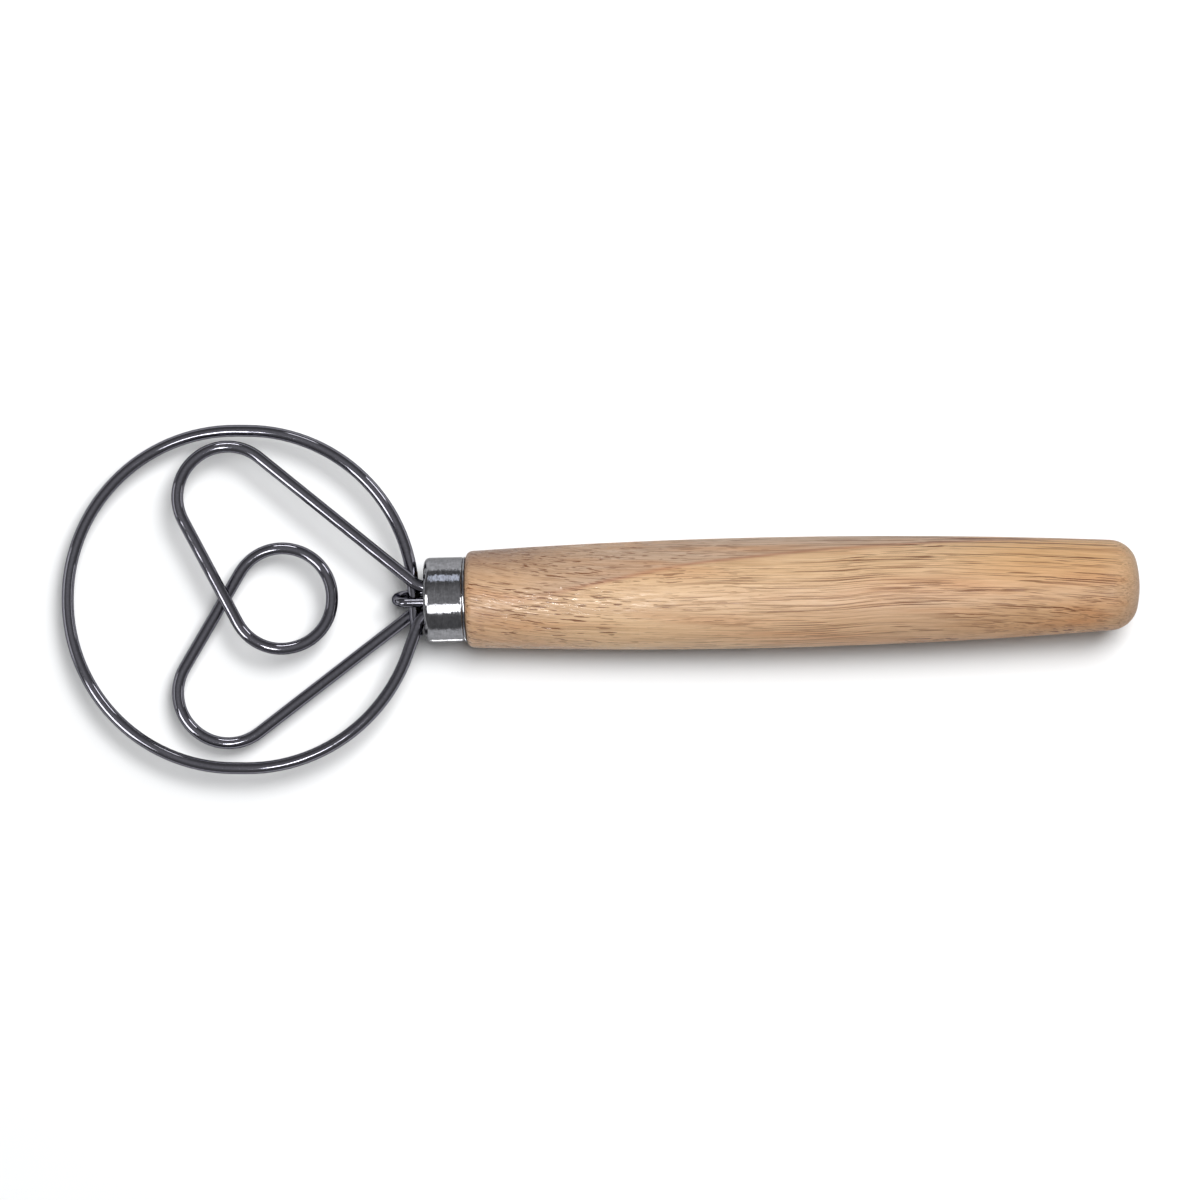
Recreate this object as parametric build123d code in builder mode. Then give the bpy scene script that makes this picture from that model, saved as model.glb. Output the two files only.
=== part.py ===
from build123d import *
from math import asin, atan2, cos, degrees, hypot, pi, radians, sin, sqrt, tan
import os

# Dough whisk, in millimetres. A turned wooden handle carries a steel ferrule, and three bent wires
# run out of the ferrule's mouth: the big outer ring, the inner loop, and a small eye that holds the ring.
# X runs along the handle, with the butt at +X and the wires at -X. The ring lies flat in the XY plane.
# The origin is the middle of the grip, on the handle's axis, where the handle is thickest.

# Handle
handle_length = 190.0
handle_front_step = 1.55
handle_belly_diameter = 31.3
handle_butt_diameter = 24.9
belly_from_front = 84.7
shoulder_round = 2.0
butt_round = 8.0
butt_dome_rise = 2.8
tenon_edge_round = 1.0
bore_clearance = 0.7
bore_end_room = 8.0

# Ferrule
ferrule_diameter = 24.1
ferrule_length = 11.8
ferrule_wall = 0.8
ferrule_shoulder_round = 1.6
ferrule_mouth_step = 0.7
ferrule_mouth_round = 0.3
ferrule_bead_width = 0.8
ferrule_groove_depth = 0.3
ferrule_rear_round = 0.8
ferrule_fit = 0.05

# Wires
wire_diameter = 3.4
eye_wire_diameter = 2.8
wire_gap = 0.15
wire_end_chamfer = 0.3
leg_depth = 30.0
arc_run = 0.3
head_lean = 1.55

# Outer ring, measured from the centre of the ferrule's mouth to the middle of the wire
ring_reach = 101.6
ring_half_width = 47.8
ring_side_run = 3.5
ring_upper_end_angle = 4.9
ring_lower_end_angle = 19.3
ring_ends_cross_reach = 2.4
ring_ends_cross_offset = 8.6
ring_free_end_length = 1.6
ring_mouth_bend = 4.0
weld_bead_radius = 1.1

# Inner loop, measured the same way. Its lobes and its curl stand at shares of the ring's reach
lobe_reach_share = 0.551
curl_reach_share = 0.4
lobe_radius = 14.3
upper_lobe_gap = 1.14
lower_lobe_gap = 3.54
lobe_lift = 2.4
curl_radius = 14.2
curl_shift = 0.3
arm_mouth_bend = 6.5
arm_bend_reach = 1.3
upper_leg_offset = 3.6

# Retaining eye
eye_reach = 9.5
eye_upper_offset = 1.3
eye_lower_offset = 0.75

# Glue plug
plug_recess = 0.3

handle_front_x = -belly_from_front
handle_butt_x = handle_front_x + handle_length
mouth_x = handle_front_x - ferrule_length
tenon_radius = ferrule_diameter / 2 - ferrule_wall - ferrule_fit
tenon_front_x = mouth_x + ferrule_wall
leg_end_x = tenon_front_x + leg_depth
wire_radius = wire_diameter / 2
eye_wire_radius = eye_wire_diameter / 2
wire_lift = wire_diameter + wire_gap
eye_lift = wire_radius + eye_wire_radius + wire_gap
ring_leg_offset = eye_lower_offset + eye_lift
lower_leg_offset = eye_lift - eye_upper_offset


def head_point(reach, offset, height):
    """A point of the wires outside the handle, which stand a little askew to it in the ferrule's mouth."""
    lean = radians(head_lean)
    along = -reach * cos(lean) + offset * sin(lean)
    across = reach * sin(lean) + offset * cos(lean)
    return Vector(mouth_x + along, across, height)


def leg_end(offset, height):
    """The inner end of a wire's leg, deep in the handle's bore and in line with the handle."""
    return Vector(leg_end_x, offset, height)


def heading(start, start_radius, end, end_radius):
    """Direction in degrees of the line that leaves one circle and meets the next, both turned to the left."""
    along = end[0] - start[0]
    across = end[1] - start[1]
    return degrees(atan2(across, along) - asin((end_radius - start_radius) / hypot(along, across)))


def round_turn(centre, radius, start_heading, end_heading, heights):
    """Corner points and bend radius of a left turn about a centre, with one corner for each height."""
    half_step = radians((end_heading - start_heading) / len(heights) / 2)
    corners = []
    for place, height in enumerate(heights):
        angle = radians(start_heading - 90) + half_step * (2 * place + 1)
        across = centre[1] + radius / cos(half_step) * sin(angle)
        along = centre[0] + radius / cos(half_step) * cos(angle)
        corners.append(head_point(-along, across, height))
    return corners, radius - arc_run / 2 / tan(half_step)


def check_wire(name, route, part, diameter):
    """Prints how far a bent wire's volume is from its section times its length."""
    expected = route.length * pi * diameter**2 / 4
    print(name, "length", round(route.length, 1), "volume ratio", round(part.volume / expected, 4))


# Outer ring: two round corners at the far side, and a long arc down each side to its straight ends,
# each as large as its side and its end leave room for. The lower side rises from the far side to the
# throat, so that its end passes over the upper side's end.
ring_top_reach = ring_ends_cross_reach + tan(radians(ring_upper_end_angle)) * (
    ring_half_width + ring_ends_cross_offset
)
ring_bottom_reach = ring_ends_cross_reach + tan(radians(ring_lower_end_angle)) * (
    ring_half_width - ring_ends_cross_offset
)
ring_bend_reach = ring_ends_cross_reach - tan(radians(ring_lower_end_angle)) * (
    ring_ends_cross_offset - ring_leg_offset
)
ring_free_reach = ring_ends_cross_reach - sin(radians(ring_upper_end_angle)) * ring_free_end_length
ring_free_offset = ring_ends_cross_offset + cos(radians(ring_upper_end_angle)) * ring_free_end_length
ring_slope = wire_lift / (ring_reach - ring_ends_cross_reach)
ring_far_radius = ring_half_width - arc_run
ring_side_start = ring_reach - ring_far_radius - ring_side_run
ring_upper_end = (ring_half_width + ring_ends_cross_offset) / cos(radians(ring_upper_end_angle))
ring_lower_end = (ring_half_width - ring_ends_cross_offset) / cos(radians(ring_lower_end_angle))
ring_upper_run = min(ring_side_start - ring_top_reach, ring_upper_end)
ring_lower_run = min(ring_side_start - ring_bottom_reach, ring_lower_end)
ring_upper_radius = ring_upper_run / tan(radians(90 - ring_upper_end_angle) / 2)
ring_lower_radius = ring_lower_run / tan(radians(90 - ring_lower_end_angle) / 2)


def ring_height(reach):
    """Height of the ring's lower side at a distance from the mouth."""
    return (ring_reach - reach) * ring_slope


ring_points = [
    leg_end(-ring_leg_offset, ring_height(ring_bend_reach)),
    head_point(ring_bend_reach, -ring_leg_offset, ring_height(ring_bend_reach)),
    head_point(ring_bottom_reach, -ring_half_width, ring_height(ring_bottom_reach)),
    head_point(ring_reach, -ring_half_width, 0),
    head_point(ring_reach, ring_half_width, 0),
    head_point(ring_top_reach, ring_half_width, 0),
    head_point(ring_free_reach, -ring_free_offset, 0),
]
ring_radii = [ring_mouth_bend, ring_lower_radius, ring_far_radius, ring_far_radius, ring_upper_radius]

with BuildPart() as outer_ring:
    with BuildLine():
        ring_route = FilletPolyline(*ring_points, radius=ring_radii)
    with BuildSketch(Plane(origin=ring_route @ 0, z_dir=ring_route % 0)):
        Circle(wire_radius)
    sweep(path=ring_route)
    ring_ends = outer_ring.faces().filter_by(GeomType.PLANE)
    chamfer(ring_ends.edges(), wire_end_chamfer)
    weld_place = head_point(ring_ends_cross_reach, -ring_ends_cross_offset, wire_lift / 2)
    with Locations(weld_place):
        Sphere(weld_bead_radius)
check_wire("outer_ring", ring_route, outer_ring.part, wire_diameter)

# Inner loop: one wire from leg to leg, turning left all the way round the upper lobe, the middle curl
# and the lower lobe. It sinks steadily, so its first diagonal passes over its second one. The lobes
# keep clear of the ring's round corners, however far out they stand.
lobe_reach = ring_reach * lobe_reach_share
lobe_room = ring_far_radius - wire_diameter - lobe_radius
lobe_side = ring_half_width - ring_far_radius + sqrt(
    lobe_room**2 - (ring_reach - ring_far_radius - lobe_reach) ** 2
)
upper_lobe = (-lobe_reach, lobe_side - upper_lobe_gap)
lower_lobe = (-lobe_reach, lower_lobe_gap - lobe_side)
curl = (-ring_reach * curl_reach_share, curl_shift)
upper_bend = (-arm_bend_reach, upper_leg_offset)
lower_bend = (-arm_bend_reach, -lower_leg_offset)
full_turn = 360

upper_arm_heading = heading(upper_bend, 0, upper_lobe, lobe_radius)
first_diagonal_heading = heading(upper_lobe, lobe_radius, curl, curl_radius) + full_turn
second_diagonal_heading = heading(curl, curl_radius, lower_lobe, lobe_radius) + 2 * full_turn
lower_arm_heading = heading(lower_lobe, lobe_radius, lower_bend, 0) + 2 * full_turn
crossing_lift = wire_lift / 2

upper_lobe_corners, lobe_bend = round_turn(
    upper_lobe, lobe_radius, upper_arm_heading, first_diagonal_heading, [lobe_lift, lobe_lift]
)
curl_corners, curl_bend = round_turn(
    curl,
    curl_radius,
    first_diagonal_heading,
    second_diagonal_heading,
    [crossing_lift, crossing_lift / 3, -crossing_lift / 3, -crossing_lift],
)
lower_lobe_corners, lower_lobe_bend = round_turn(
    lower_lobe, lobe_radius, second_diagonal_heading, lower_arm_heading, [-lobe_lift, -lobe_lift]
)

loop_points = [
    leg_end(upper_leg_offset, wire_lift),
    head_point(arm_bend_reach, upper_leg_offset, wire_lift),
    *upper_lobe_corners,
    *curl_corners,
    *lower_lobe_corners,
    head_point(arm_bend_reach, -lower_leg_offset, -wire_lift),
    leg_end(-lower_leg_offset, -wire_lift),
]
loop_radii = [
    arm_mouth_bend,
    *[lobe_bend] * len(upper_lobe_corners),
    *[curl_bend] * len(curl_corners),
    *[lower_lobe_bend] * len(lower_lobe_corners),
    arm_mouth_bend,
]

with BuildPart() as inner_loop:
    with BuildLine():
        loop_route = FilletPolyline(*loop_points, radius=loop_radii)
    with BuildSketch(Plane(origin=loop_route @ 0, z_dir=loop_route % 0)):
        Circle(wire_radius)
    sweep(path=loop_route)
check_wire("inner_loop", loop_route, inner_loop.part, wire_diameter)

# Retaining eye: a U on edge, with one leg over the ring and the other under it.
eye_nose_reach = eye_reach - eye_wire_radius
eye_span = hypot(eye_upper_offset + eye_lower_offset, 2 * eye_lift)
eye_bend = (eye_span - arc_run) / 2

with BuildPart() as retaining_eye:
    with BuildLine():
        eye_route = FilletPolyline(
            leg_end(eye_upper_offset, -eye_lift),
            head_point(eye_nose_reach, eye_upper_offset, -eye_lift),
            head_point(eye_nose_reach, -eye_lower_offset, eye_lift),
            leg_end(-eye_lower_offset, eye_lift),
            radius=eye_bend,
        )
    with BuildSketch(Plane(origin=eye_route @ 0, z_dir=eye_route % 0)):
        Circle(eye_wire_radius)
    sweep(path=eye_route)
check_wire("retaining_eye", eye_route, retaining_eye.part, eye_wire_diameter)

# Handle's bore, just wide enough for the legs of all three wires.
leg_spreads = [
    hypot(ring_leg_offset, ring_height(ring_bend_reach)),
    hypot(upper_leg_offset, wire_lift),
    hypot(lower_leg_offset, wire_lift),
]
bore_radius = max(leg_spreads) + wire_radius + bore_clearance
bore_depth = leg_depth + bore_end_room

# Ferrule: a drawn cap with a rounded shoulder and an open mouth. Its rear edge is rounded down to a
# groove, and behind that a round bead is rolled against the wood.
ferrule_radius = ferrule_diameter / 2
ferrule_bore_radius = ferrule_radius - ferrule_wall
mouth_radius = bore_radius + ferrule_mouth_step
mouth_face_width = ferrule_radius - mouth_radius
groove_radius = ferrule_radius - ferrule_groove_depth
groove_x = handle_front_x - ferrule_bead_width
bead_middle_x = handle_front_x - ferrule_bead_width / 2
rear_edge_x = groove_x - ferrule_groove_depth

with BuildPart() as ferrule:
    with BuildSketch() as ferrule_outline:
        with BuildLine():
            Polyline(
                (handle_front_x, groove_radius),
                (handle_front_x, ferrule_bore_radius),
                (tenon_front_x, ferrule_bore_radius),
                (tenon_front_x, mouth_radius),
                (mouth_x, mouth_radius),
                (mouth_x, ferrule_radius),
                (rear_edge_x, ferrule_radius),
                (groove_x, groove_radius),
            )
            ThreePointArc(
                (groove_x, groove_radius),
                (bead_middle_x, ferrule_radius),
                (handle_front_x, groove_radius),
            )
        make_face()
        rear_edge = ferrule_outline.vertices().sort_by_distance((rear_edge_x, ferrule_radius))[0]
        fillet(rear_edge, min(ferrule_rear_round, 3 * ferrule_groove_depth))
    revolve(axis=Axis.X)
    shoulder_edge = ferrule.edges().filter_by(GeomType.CIRCLE).group_by(Axis.X)[0].sort_by(SortBy.RADIUS)[-1]
    fillet(shoulder_edge, min(ferrule_shoulder_round, mouth_face_width - 2 * ferrule_mouth_round))
    mouth_edges = ferrule.edges().filter_by(GeomType.CIRCLE).group_by(Axis.X)[0].sort_by(SortBy.RADIUS)[0]
    fillet(mouth_edges, ferrule_mouth_round)

# Handle: one long turned curve from shoulder to butt, a tenon for the ferrule, and a blind bore.
handle_front_radius = ferrule_radius + handle_front_step
handle_belly_radius = handle_belly_diameter / 2
handle_butt_radius = handle_butt_diameter / 2
butt_edge_x = handle_butt_x - butt_dome_rise

with BuildPart() as handle:
    with BuildSketch() as handle_outline:
        with BuildLine():
            Polyline(
                (handle_butt_x, 0),
                (tenon_front_x, 0),
                (tenon_front_x, tenon_radius),
                (handle_front_x, tenon_radius),
                (handle_front_x, handle_front_radius),
            )
            ThreePointArc(
                (handle_front_x, handle_front_radius),
                (0, handle_belly_radius),
                (butt_edge_x, handle_butt_radius),
            )
            TangentArc(
                (handle_butt_x, 0), (butt_edge_x, handle_butt_radius), tangent=(0, 1)
            )
        make_face()
        for corner, corner_round in [
            ((tenon_front_x, tenon_radius), tenon_edge_round),
            ((handle_front_x, handle_front_radius), shoulder_round),
            ((butt_edge_x, handle_butt_radius), butt_round),
        ]:
            fillet(handle_outline.vertices().sort_by_distance(corner)[0], corner_round)
    revolve(axis=Axis.X)
    with BuildSketch(Plane(origin=(tenon_front_x, 0, 0), z_dir=(1, 0, 0))):
        Circle(bore_radius)
    extrude(amount=bore_depth, mode=Mode.SUBTRACT)

# Glue plug: fills the bore round the five wire legs.
with BuildPart() as glue_plug:
    with BuildSketch(Plane(origin=(tenon_front_x + plug_recess, 0, 0), z_dir=(1, 0, 0))):
        Circle(bore_radius)
    extrude(amount=bore_depth - plug_recess)
    add([outer_ring.part, inner_loop.part, retaining_eye.part], mode=Mode.SUBTRACT)

os.makedirs("parts", exist_ok=True)
pieces = {
    "handle": handle,
    "ferrule": ferrule,
    "outer_ring": outer_ring,
    "inner_loop": inner_loop,
    "retaining_eye": retaining_eye,
    "glue_plug": glue_plug,
}
for name, piece in pieces.items():
    piece.part.label = name
    export_step(piece.part, f"parts/{name}.step")
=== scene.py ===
from math import cos, pi, radians, sin

import bpy
from mathutils import Matrix, Vector


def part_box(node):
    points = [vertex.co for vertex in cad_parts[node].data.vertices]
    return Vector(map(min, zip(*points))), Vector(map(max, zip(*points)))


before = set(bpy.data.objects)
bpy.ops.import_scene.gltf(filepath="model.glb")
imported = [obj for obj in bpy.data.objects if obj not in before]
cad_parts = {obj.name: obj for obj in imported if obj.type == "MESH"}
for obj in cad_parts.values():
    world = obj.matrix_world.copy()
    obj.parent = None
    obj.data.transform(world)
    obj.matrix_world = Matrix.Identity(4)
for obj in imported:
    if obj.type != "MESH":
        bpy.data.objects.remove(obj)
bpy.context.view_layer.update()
bpy.ops.object.select_all(action="DESELECT")


# Handle: turned from one blank of pale tropical hardwood, sanded along the grain and given a thin
# satin oil. Its growth layers lie almost flat under the top face, so they run out as long arches.
def start_material(name):
    """An empty node material."""
    material = bpy.data.materials.new(name)
    material.use_nodes = True
    material.node_tree.nodes.clear()
    return material, material.node_tree


def add(tree, kind, sockets, **settings):
    """A new node, with each named socket linked to another node's output or set to a value."""
    made = tree.nodes.new("ShaderNode" + kind)
    for name, value in settings.items():
        setattr(made, name, value)
    for name, value in sockets.items():
        if isinstance(value, bpy.types.NodeSocket):
            tree.links.new(value, made.inputs[name])
        else:
            made.inputs[name].default_value = value
    return made


def end_material(material, sockets):
    """The material with its surface made and joined to its output."""
    surface = add(material.node_tree, "BsdfPrincipled", sockets).outputs[0]
    add(material.node_tree, "OutputMaterial", {"Surface": surface})
    return material


def work_out(tree, kind, first, second):
    """One arithmetic step on two values."""
    return add(tree, "Math", {0: first, 1: second}, operation=kind).outputs[0]


def move_by(tree, place, change):
    """A place moved by a vector."""
    return add(tree, "VectorMath", {0: place, 1: change}, operation="ADD").outputs[0]


def spread(tree, value, low, high, bottom=0.0, top=1.0):
    """A value taken from one range to another, and kept inside it."""
    sockets = {"Value": value, "From Min": low, "From Max": high, "To Min": bottom, "To Max": top}
    return add(tree, "MapRange", sockets).outputs["Result"]


def tint(tree, kind, amount, below, above):
    """Two colours blended by an amount. A Mix node has its colours at inputs 6 and 7 and output 2."""
    sockets = {"Factor": amount, 6: below, 7: above}
    return add(tree, "Mix", sockets, data_type="RGBA", blend_type=kind).outputs[2]


def shade(red, green, blue):
    """A colour named by its 8-bit screen values, as the shader's linear colour."""
    parts = [(level / 255 + 0.055) ** 2.4 / 1.055**2.4 for level in (red, green, blue)]
    return (*parts, 1)


def scaled(tree, place, scale):
    """A place with its X, Y and Z each multiplied."""
    return add(tree, "Mapping", {"Vector": place, "Scale": scale}).outputs[0]


def place_in_mm(tree):
    """The point's place on the object, in millimetres."""
    return scaled(tree, tree.nodes.new("ShaderNodeTexCoord").outputs["Object"], (1000, 1000, 1000))


def noise(tree, place, scale, detail=2.0, roughness=0.5):
    """Noise with so many blots to a unit of the place, and so much finer detail in them."""
    sockets = {"Vector": place, "Scale": scale, "Detail": detail, "Roughness": roughness}
    return add(tree, "TexNoise", sockets).outputs["Fac"]


def along_grain(tree, place, size):
    """Coordinates in which one unit is the size's length along the handle and its width across."""
    length, width = size
    return scaled(tree, place, (1 / length, 1 / width, 1 / width))


def grain_noise(tree, place, size, detail=2.0, roughness=0.5):
    """Noise whose blots are as long along the handle and as wide across it as the size says."""
    return noise(tree, along_grain(tree, place, size), 1.0, detail, roughness)


# Amber and honey multiply the wood under them, and the other colours cover it. The amber is painted
# shade, which darkens and warms the near side of the handle.
wood_light = shade(230, 193, 152)
wood_mid = shade(223, 184, 146)
wood_grey = shade(208, 178, 152)
wood_line = shade(194, 147, 118)
wood_pink = shade(216, 165, 123)
wood_brown = shade(179, 148, 126)
# Painted shade for the near side of the handle: it darkens the wood and makes it warmer.
amber_painted_shade = shade(240, 232, 221)
wood_honey = shade(255, 245, 228)
wood_pore = shade(126, 80, 50)

# Places and sizes in the wood are in millimetres. A stretch is measured from the middle of the grip,
# towards the butt or across to the far side, and what it steers changes from its first place to its last.
wander_size = (80, 30)
wander_push = (0, 6, 3)
front_drop_stretch = (-20, -86)
front_drop_power = 2.5
front_drop = -7.0
butt_drop_stretch = (35, 105)
butt_drop_power = 2.0
butt_drop = 3.2

noise_range = (0.3, 0.7)
layer_start = 3.5
layer_step = 30.0
layer_direction = (0.1, -0.57, 0.82)
layer_ease = 0.4
layer_ease_size = (70, 12)
layer_front_rise = 2.0
layer_rise_stretch = (-20, -60)
layer_fade = 0.85
layer_fade_stretch = (-46, -72)

patch_size = (50, 6)
patch_range = (0.5, 0.7)
patch_amount = 0.7
brown_stretch = (-45, -72)
brown_across = (5, 13)
# Where the painted shade on the near side lies: along the handle towards the butt, and across on the near
# side.
amber_shade_stretch = (5, 60)
amber_shade_across = (-3, -12)
honey_start_stretch = (45, 72)
honey_end_stretch = (106, 93)

band_size = (60, 1.4)
band_levels = (0.93, 1.05)
fibre_size = (20, 0.42)
fibre_levels = (0.84, 1.11)
front_level = 0.94
front_level_stretch = (-40, -84)
green_power = 1.35
blue_power = 1.7

pore_flattening = 0.5
fibre_flattening = 0.4
crowd_size = (40, 4)
crowd_range = (0.36, 0.55)
crowd_levels = (0.3, 1.0)
butt_end_stretch = (94, 103)
butt_end_levels = (1.0, 0.3)

fibre_relief = 2.0
grain_bump = 0.8
grain_bump_metres = 0.0001
polish_size = (4, 0.5)
polish_range = (0.36, 0.50)
polish_roughness = (0.14, 0.52)
worn_stretch = (-45, -24)
worn_roughness = (0.14, 0.45)
oil_gloss = 0.3


def wavy_grain(tree, place):
    """The place, pushed sideways a little at a time, so that the fibres wander along the handle. They
    also run down towards the butt, most of all near the ferrule and past the grip."""
    slow = along_grain(tree, place, wander_size)
    wander = add(tree, "TexNoise", {"Vector": slow, "Scale": 1.0, "Detail": 2.0}).outputs["Color"]
    centred = move_by(tree, wander, (-0.5, -0.5, -0.5))
    push = add(tree, "VectorMath", {0: centred, 1: wander_push}, operation="MULTIPLY").outputs[0]
    along = add(tree, "SeparateXYZ", {0: place}).outputs["X"]
    at_front = work_out(tree, "POWER", spread(tree, along, *front_drop_stretch), front_drop_power)
    at_butt = work_out(tree, "POWER", spread(tree, along, *butt_drop_stretch), butt_drop_power)
    drop = work_out(
        tree,
        "ADD",
        work_out(tree, "MULTIPLY", at_front, front_drop),
        work_out(tree, "MULTIPLY", at_butt, butt_drop),
    )
    bent = move_by(tree, place, add(tree, "CombineXYZ", {"Y": drop}).outputs[0])
    return move_by(tree, bent, push)


def growth_layers(tree, place):
    """The colour of the growth layer that the surface cuts: pale at its start, greyer and pinker at its
    end, with a thin line between two layers. They fade out towards the ferrule."""
    slow = grain_noise(tree, place, layer_ease_size, 1.0)
    ease = spread(tree, slow, *noise_range, -layer_ease, layer_ease)
    flat = add(tree, "VectorMath", {0: place, 1: layer_direction}, operation="DOT_PRODUCT").outputs["Value"]
    along = add(tree, "SeparateXYZ", {0: place}).outputs["X"]
    rise = spread(tree, along, *layer_rise_stretch, 0.0, -layer_front_rise)
    depth = work_out(tree, "ADD", work_out(tree, "ADD", flat, ease), rise)
    layers = work_out(tree, "DIVIDE", work_out(tree, "SUBTRACT", depth, layer_start), layer_step)
    ramp = add(tree, "ValToRGB", {"Fac": work_out(tree, "FRACT", layers, 0.0)})
    stops = (
        (0.03, wood_light),
        (0.2, wood_light),
        (0.45, wood_mid),
        (0.7, wood_grey),
        (0.97, wood_grey),
    )
    for share, colour in stops:
        ramp.color_ramp.elements.new(share).color = colour
    ramp.color_ramp.elements[0].color = wood_line
    ramp.color_ramp.elements[-1].color = wood_line
    faded = spread(tree, along, *layer_fade_stretch, 0.0, layer_fade)
    return tint(tree, "MIX", faded, ramp.outputs["Color"], wood_mid)


def patched(tree, colour, along, across, grain):
    """The wood's colour with pinkish patches, brown by the ferrule on the far side, amber painted
    shade towards the butt on the near side, and honey past the grip."""
    patches = spread(tree, grain_noise(tree, grain, patch_size), *patch_range, 0.0, patch_amount)
    colour = tint(tree, "MIX", patches, colour, wood_pink)
    brown = work_out(
        tree, "MULTIPLY", spread(tree, along, *brown_stretch), spread(tree, across, *brown_across)
    )
    colour = tint(tree, "MIX", brown, colour, wood_brown)
    # Painted shade: the near side towards the butt is made darker and warmer.
    near_side_shade = work_out(
        tree, "MULTIPLY", spread(tree, along, *amber_shade_stretch), spread(tree, across, *amber_shade_across)
    )
    colour = tint(tree, "MULTIPLY", near_side_shade, colour, amber_painted_shade)
    honey = work_out(
        tree, "MULTIPLY", spread(tree, along, *honey_start_stretch), spread(tree, along, *honey_end_stretch)
    )
    return tint(tree, "MULTIPLY", honey, colour, wood_honey)


def cut_vessels(tree, along, grain, pores_at, fibres_at):
    """Dark dashes where the surface cuts the wood's vessels: 1 in the deepest, 0 outside. They are short
    near the ferrule, long towards the butt, and stand in crowds."""
    kinds = (
        # place, size of a dash, range of the noise that it takes, stretch, strength along the stretch
        (pores_at, (5.0, 0.42), (0.60, 0.65), (10, -45), (0.15, 0.95)),
        (fibres_at, (26, 0.30), (0.605, 0.635), (-40, 40), (0.35, 1.0)),
        (fibres_at, (50, 0.36), (0.605, 0.635), (-30, 60), (0.35, 1.0)),
    )
    vessels = 0.0
    for place, size, taken, stretch, strengths in kinds:
        dashes = spread(tree, grain_noise(tree, place, size, 1.0), *taken)
        dashes = work_out(tree, "MULTIPLY", dashes, spread(tree, along, *stretch, *strengths))
        vessels = work_out(tree, "MAXIMUM", vessels, dashes)
    crowd = spread(tree, grain_noise(tree, grain, crowd_size, 1.0), *crowd_range, *crowd_levels)
    crowd = work_out(tree, "MULTIPLY", crowd, spread(tree, along, *butt_end_stretch, *butt_end_levels))
    return work_out(tree, "MULTIPLY", vessels, crowd)


def wood_material():
    """Pale hardwood with growth layers, pinkish patches, fine fibres and dark pores under satin oil. The
    pores and the fibres are flattened upright, so the handle's taper doesn't cut them short."""
    material, tree = start_material("pale_hardwood")
    straight = place_in_mm(tree)
    along, across = (add(tree, "SeparateXYZ", {0: straight}).outputs[name] for name in ("X", "Y"))
    grain = wavy_grain(tree, straight)
    pores_at = scaled(tree, grain, (1, 1, pore_flattening))
    fibres_at = scaled(tree, grain, (1, 1, fibre_flattening))
    colour = patched(tree, growth_layers(tree, straight), along, across, grain)

    bands = spread(tree, grain_noise(tree, grain, band_size, 3.0, 0.6), *noise_range, *band_levels)
    fibres = spread(tree, grain_noise(tree, fibres_at, fibre_size, 3.0, 0.8), *noise_range, *fibre_levels)
    front = spread(tree, along, *front_level_stretch, 1.0, front_level)
    red = work_out(tree, "MULTIPLY", work_out(tree, "MULTIPLY", bands, fibres), front)
    green, blue = (work_out(tree, "POWER", red, power) for power in (green_power, blue_power))
    tone = add(tree, "CombineColor", {0: red, 1: green, 2: blue}).outputs[0]
    colour = tint(tree, "MULTIPLY", 1.0, colour, tone)
    dark = cut_vessels(tree, along, grain, pores_at, fibres_at)
    colour = tint(tree, "MIX", dark, colour, wood_pore)

    relief = work_out(tree, "SUBTRACT", work_out(tree, "MULTIPLY", fibres, fibre_relief), dark)
    bump = add(tree, "Bump", {"Height": relief, "Strength": grain_bump, "Distance": grain_bump_metres})
    polish = spread(tree, grain_noise(tree, grain, polish_size), *polish_range, *polish_roughness)
    rough = work_out(tree, "MAXIMUM", polish, spread(tree, along, *worn_stretch, *worn_roughness))
    sockets = {"Base Color": colour, "Roughness": rough, "Normal": bump.outputs[0]}
    sockets["Specular IOR Level"] = oil_gloss
    return end_material(material, sockets)


def finish_node(name, material):
    """A CAD piece takes its finish in every material slot."""
    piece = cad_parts[name]
    piece.data.materials.clear()
    piece.data.materials.append(material)


finish_node("handle", wood_material())


# Ferrule: a cap drawn from thin stainless steel and skimmed on a lathe, which leaves fine lines round
# it. It is pressed over the handle's tenon, and its rounded nose has the mouth for the wires.
chatter_scale = (1.5, 0.5, 0.5)
thread_scale = (5.0, 0.4, 0.4)
thread_relief = 0.06
turning_bump = 0.8
turning_bump_metres = 0.00012
blot_scale = 0.9
blot_range = (0.35, 0.65)
blot_levels = (0.86, 1.16)
steel_levels = (0.21, 0.28)
steel_blue_share = 1.05
steel_roughness = (0.06, 0.14)
steel_edge = (0.5, 0.5, 0.5, 1)


def ferrule_material():
    """Bright drawn steel with fine turning lines round it, uneven where the tool chattered."""
    material, tree = start_material("turned_steel")
    place = place_in_mm(tree)
    chatter = noise(tree, scaled(tree, place, chatter_scale), 1.0)
    thread = noise(tree, scaled(tree, place, thread_scale), 1.0)
    relief = work_out(tree, "ADD", chatter, work_out(tree, "MULTIPLY", thread, thread_relief))
    bump = add(tree, "Bump", {"Height": relief, "Strength": turning_bump, "Distance": turning_bump_metres})
    blots = spread(tree, noise(tree, place, blot_scale), *blot_range, *blot_levels)
    tone = work_out(tree, "MULTIPLY", spread(tree, thread, *noise_range, *steel_levels), blots)
    blue = work_out(tree, "MULTIPLY", tone, steel_blue_share)
    colour = add(tree, "CombineColor", {0: tone, 1: tone, 2: blue}).outputs[0]
    rough = spread(tree, chatter, *noise_range, *steel_roughness)
    sockets = {"Base Color": colour, "Metallic": 1.0, "Roughness": rough, "Normal": bump.outputs[0]}
    sockets["Specular Tint"] = steel_edge
    return end_material(material, sockets)


finish_node("ferrule", ferrule_material())


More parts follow.
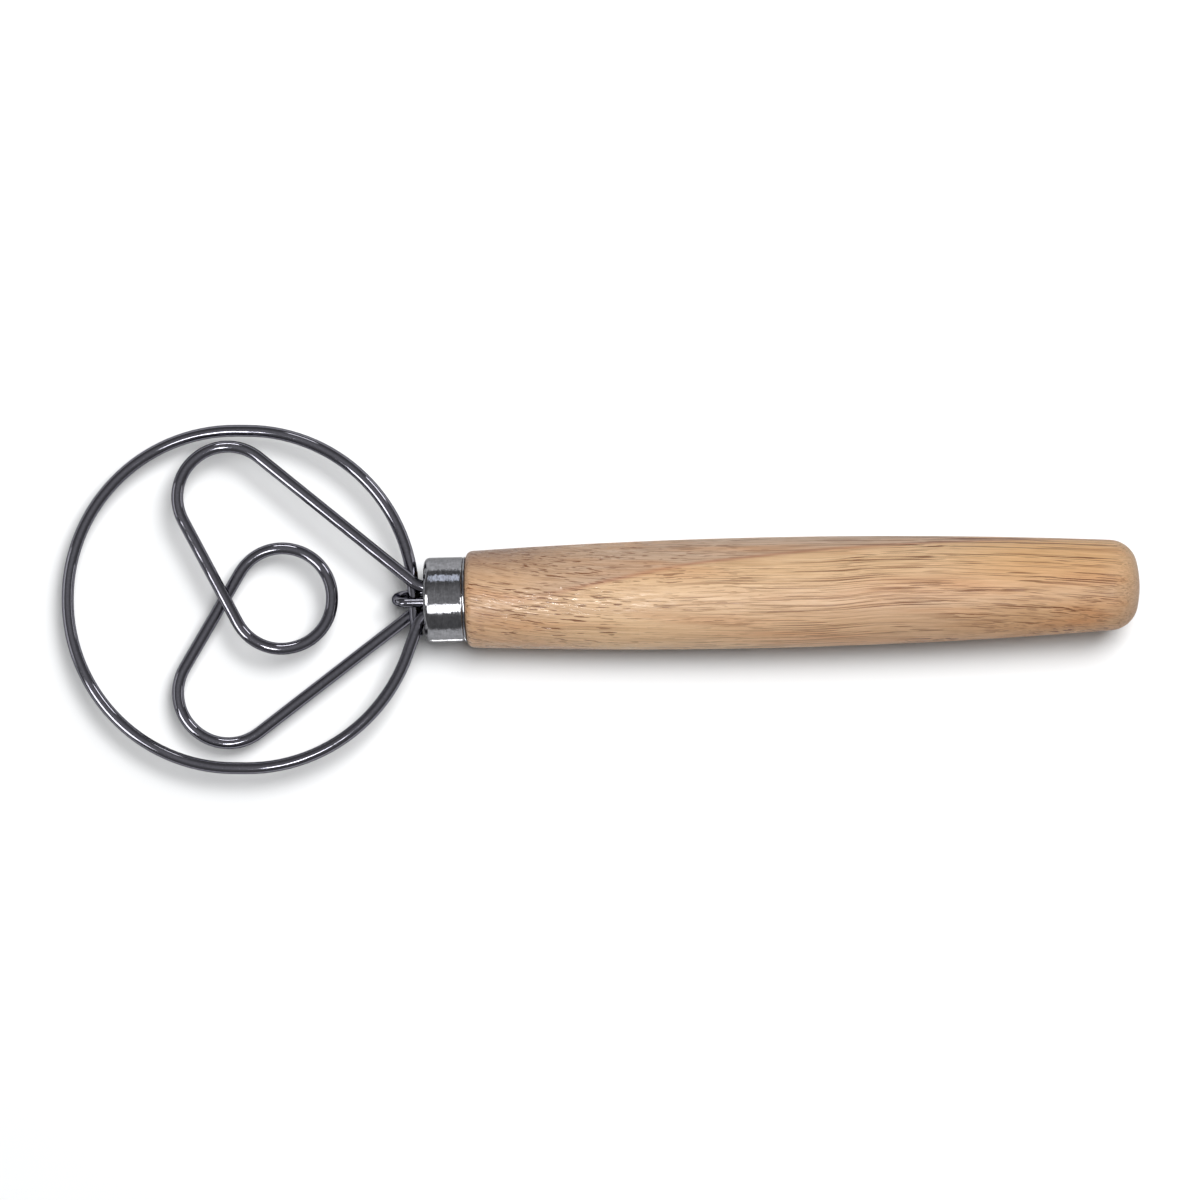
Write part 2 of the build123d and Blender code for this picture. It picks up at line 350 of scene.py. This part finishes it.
# Wires: three lengths of polished stainless wire, cold bent to shape. The ring, the inner loop and the
# small eye run through the ferrule's mouth and are glued into the handle together.
wire_names = ("outer_ring", "inner_loop", "retaining_eye")
ripple_scale = 0.1
ripple_bump = 0.6
ripple_bump_metres = 0.0003
rub_scale = 1.7
rub_range = (0.35, 0.7)
wire_levels = (0.205, 0.155)
wire_green_share = 0.985
wire_blue_share = 1.12
wire_roughness = (0.05, 0.13)
wire_edge = (0.15, 0.15, 0.15, 1)


def wire_material():
    """Polished stainless wire, grey with a cold cast, with faint ripples and rubs from bending."""
    material, tree = start_material("polished_wire")
    place = place_in_mm(tree)
    ripple = noise(tree, place, ripple_scale, 1.0)
    rub = noise(tree, place, rub_scale, 4.0, 0.6)
    bump = add(tree, "Bump", {"Height": ripple, "Strength": ripple_bump, "Distance": ripple_bump_metres})
    red = spread(tree, rub, *rub_range, *wire_levels)
    green, blue = (work_out(tree, "MULTIPLY", red, share) for share in (wire_green_share, wire_blue_share))
    colour = add(tree, "CombineColor", {0: red, 1: green, 2: blue}).outputs[0]
    rough = spread(tree, rub, *rub_range, *wire_roughness)
    sockets = {"Base Color": colour, "Metallic": 1.0, "Roughness": rough, "Normal": bump.outputs[0]}
    sockets["Specular Tint"] = wire_edge
    return end_material(material, sockets)


polished_wire = wire_material()
for wire_name in wire_names:
    finish_node(wire_name, polished_wire)


# Glue plug: dark epoxy poured round the wire legs in the handle's bore, seen only by looking into the
# ferrule's mouth. It set with a slightly uneven, glossy face. Its dark colour is partly the epoxy's own
# and partly painted shade for the deep mouth.
# Both epoxy colours are dark partly as the epoxy's own colour and partly as painted shade deep in the
# mouth.
shaded_epoxy_brown = shade(74, 66, 56)
shaded_epoxy_dark = shade(44, 38, 33)
bubble_scale = 0.8
bubble_range = (0.35, 0.65)
bubble_bump = 0.4
bubble_bump_metres = 0.0003
epoxy_roughness = 0.22


def glue_material():
    """Cured dark epoxy, clouded by fine bubbles, its darkness partly its own colour and partly painted
    shade.
    """
    material, tree = start_material("dark_epoxy_and_painted_shade")
    cloud = noise(tree, place_in_mm(tree), bubble_scale, 4.0)
    colour = tint(tree, "MIX", spread(tree, cloud, *bubble_range), shaded_epoxy_brown, shaded_epoxy_dark)
    bump = add(tree, "Bump", {"Height": cloud, "Strength": bubble_bump, "Distance": bubble_bump_metres})
    sockets = {"Base Color": colour, "Roughness": epoxy_roughness, "Normal": bump.outputs[0]}
    return end_material(material, sockets)


finish_node("glue_plug", glue_material())


# Floor: a plain pale table under the whisk. The whisk balances on its handle's belly, with the ring
# clear of the table all round, so the floor leans a little in the whisk's own frame.
rest_x = -0.0553
rest_z = -0.01479
floor_slope = 0.0319
floor_size = 2.4
floor_grey = (0.55, 0.55, 0.55, 1)
floor_white = (0.865, 0.872, 0.88, 1)
floor_normal = Vector((floor_slope, 0, 1)).normalized()


def floor_material():
    """A pale table, seen brightly lit by the camera and in mirrors, with the object's shadow kept."""
    material, tree = start_material("pale_table")
    path = tree.nodes.new("ShaderNodeLightPath").outputs
    mirrored = work_out(tree, "MAXIMUM", path["Is Glossy Ray"], path["Is Transmission Ray"])
    seen = work_out(tree, "MAXIMUM", path["Is Camera Ray"], mirrored)
    plain = add(tree, "BsdfDiffuse", {"Color": floor_grey}).outputs[0]
    bright = add(tree, "BsdfDiffuse", {"Color": floor_white}).outputs[0]
    mixed = add(tree, "MixShader", {0: seen, 1: plain, 2: bright}).outputs[0]
    add(tree, "OutputMaterial", {"Surface": mixed})
    return material


bpy.ops.mesh.primitive_plane_add(size=floor_size, location=(rest_x, 0, rest_z))
floor = bpy.context.object
floor.name = "floor"
floor.rotation_euler = floor_normal.to_track_quat("Z", "Y").to_euler()
floor.data.materials.append(floor_material())


# Studio light: a large soft box overhead lights the pieces, two more light the table and give the soft
# shadow, and small bright cards stand where the wires, the ferrule and the oiled wood mirror them.
rest_point = Vector((rest_x, 0, 0))
head_middle = Vector((-0.147, 0, 0))
ferrule_low, ferrule_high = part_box("ferrule")
ferrule_middle = (ferrule_low + ferrule_high) / 2
window_colour = (0.8, 0.86, 1.0)


def soft_box(name, aim, azimuth, zenith, distance, width, height, level):
    """A lamp at so many degrees round from +X and down from straight up, aimed at a place."""
    lamp = bpy.data.lights.new(name, "AREA")
    lamp.shape = "RECTANGLE"
    lamp.size = width
    lamp.size_y = height
    lamp.energy = level * pi * width * height
    holder = bpy.data.objects.new(name, lamp)
    bpy.context.scene.collection.objects.link(holder)
    away = Vector((
        sin(radians(zenith)) * cos(radians(azimuth)),
        sin(radians(zenith)) * sin(radians(azimuth)),
        cos(radians(zenith)),
    ))
    holder.location = aim + away * distance
    holder.rotation_euler = away.to_track_quat("Z", "Y").to_euler()
    holder.visible_camera = False
    return holder


def shine_on(lamp, objects):
    """The lamp shines on these objects alone."""
    group = bpy.data.collections.new(lamp.name + "_shines_on")
    for lit in objects:
        group.objects.link(lit)
    lamp.light_linking.receiver_collection = group


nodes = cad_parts
wires = [nodes[wire_name] for wire_name in wire_names]
ring, *loop_and_eye = wires
cap = [nodes["ferrule"]]
wood = [nodes["handle"]]

boxes = (
    # name, what it lights, azimuth, zenith, distance, width, height, level
    ("overhead", nodes.values(), 78, 5, 1.2, 0.95, 0.95, 5.5),
    ("table_light", [floor], 50, 17, 2.0, 0.88, 1.0, 15.9),
    ("low_table_light", [floor], 50, 34, 2.0, 0.83, 0.83, 5.0),
)
for name, objects, *placing in boxes:
    box = soft_box(name, rest_point, *placing)
    shine_on(box, objects)
    box.visible_glossy = False

cards = (
    # name, what mirrors it, aim, azimuth, zenith, distance, width, height, level
    ("near_card", wires, head_middle, 257, 18, 1.0, 0.10, 0.23, 18.0),
    ("left_card", wires, head_middle, 214, 48, 1.0, 0.28, 0.50, 7.0),
    ("right_card", wires, head_middle, 42, 62, 1.0, 0.20, 0.28, 5.5),
    ("far_card", loop_and_eye, head_middle, 95, 59, 1.0, 0.34, 0.16, 9.0),
    ("far_ring_card", [ring], head_middle, 76, 57, 1.0, 0.14, 0.20, 4.0),
    ("left_wall", wires, head_middle, 180, 77, 1.0, 0.6, 0.45, 1.3),
    ("right_wall", wires, head_middle, 0, 77, 1.0, 0.5, 0.40, 1.1),
    ("ferrule_card", cap, ferrule_middle, 271, 24, 1.0, 1.1, 0.37, 6.0),
    ("ferrule_window", cap, ferrule_middle, 88, 62, 1.0, 0.40, 0.30, 1.7),
    ("nose_card", cap, ferrule_middle, 181, 50, 1.0, 0.34, 0.60, 12.0),
    ("rear_card", cap, ferrule_middle, 352, 50, 1.0, 0.34, 0.60, 7.0),
    ("ferrule_glint", cap, ferrule_middle, 270, 117.7, 0.02585, 0.0118, 0.003, 9.0),
    ("sheen_card", wood, ferrule_middle, 266, 15, 1.0, 0.40, 0.30, 42.0),
)
for name, objects, *placing in cards:
    card = soft_box(name, *placing)
    shine_on(card, objects)
    card.visible_diffuse = False
bpy.data.objects["ferrule_window"].data.color = window_colour

# The room that the mirrors show, as its brightness from straight down (0) to straight up (1).
room_levels = ((0.0, 1.0), (0.04, 0.6), (0.1, 0.2), (0.7, 0.22), (0.9, 0.42), (1.0, 0.52))
room_blue_share = 1.02
ambient_level = 0.08


def room_colour(level):
    """A grey of the room, a little cold."""
    return (level, level, level * room_blue_share, 1)


world = bpy.data.worlds.new("studio")
bpy.context.scene.world = world
world.use_nodes = True
sky = world.node_tree
sky.nodes.clear()
direction = sky.nodes.new("ShaderNodeTexCoord").outputs["Generated"]
upward = add(sky, "SeparateXYZ", {0: direction}).outputs["Z"]
room = add(sky, "ValToRGB", {"Fac": upward})
for share, level in room_levels[1:-1]:
    room.color_ramp.elements.new(share).color = room_colour(level)
for end in (0, -1):
    room.color_ramp.elements[end].color = room_colour(room_levels[end][1])
sky_path = sky.nodes.new("ShaderNodeLightPath").outputs
in_mirror = add(sky, "Background", {"Color": room.outputs["Color"]}).outputs[0]
ambient = add(sky, "Background", {"Color": (1, 1, 1, 1), "Strength": ambient_level}).outputs[0]
backdrop = add(sky, "Background", {"Color": (1, 1, 1, 1), "Strength": 1.0}).outputs[0]
lighting = add(sky, "MixShader", {0: sky_path["Is Glossy Ray"], 1: ambient, 2: in_mirror}).outputs[0]
in_view = work_out(sky, "MAXIMUM", sky_path["Is Camera Ray"], sky_path["Is Transmission Ray"])
everything = add(sky, "MixShader", {0: in_view, 1: lighting, 2: backdrop}).outputs[0]
add(sky, "OutputWorld", {"Surface": everything})
bpy.context.scene.view_settings.view_transform = "Standard"


# Camera: straight above the table, with the handle rising a little to the right of the picture.
camera_aim = Vector((-0.0470, -0.00103, 0))
camera_distance = 1.6
picture_width = 0.3395
sensor_width = 36
handle_rise = radians(1.28)

camera_data = bpy.data.cameras.new("camera")
camera_data.sensor_width = sensor_width
camera_data.lens = sensor_width * camera_distance / picture_width
camera = bpy.data.objects.new("camera", camera_data)
bpy.context.scene.collection.objects.link(camera)
bpy.context.scene.camera = camera
along = (Vector((1, 0, 0)) - floor_normal * floor_normal.x).normalized()
across = floor_normal.cross(along)
right = along * cos(handle_rise) - across * sin(handle_rise)
up = along * sin(handle_rise) + across * cos(handle_rise)
turn = Matrix((right, up, floor_normal)).transposed().to_4x4()
camera.matrix_world = Matrix.Translation(camera_aim + floor_normal * camera_distance) @ turn
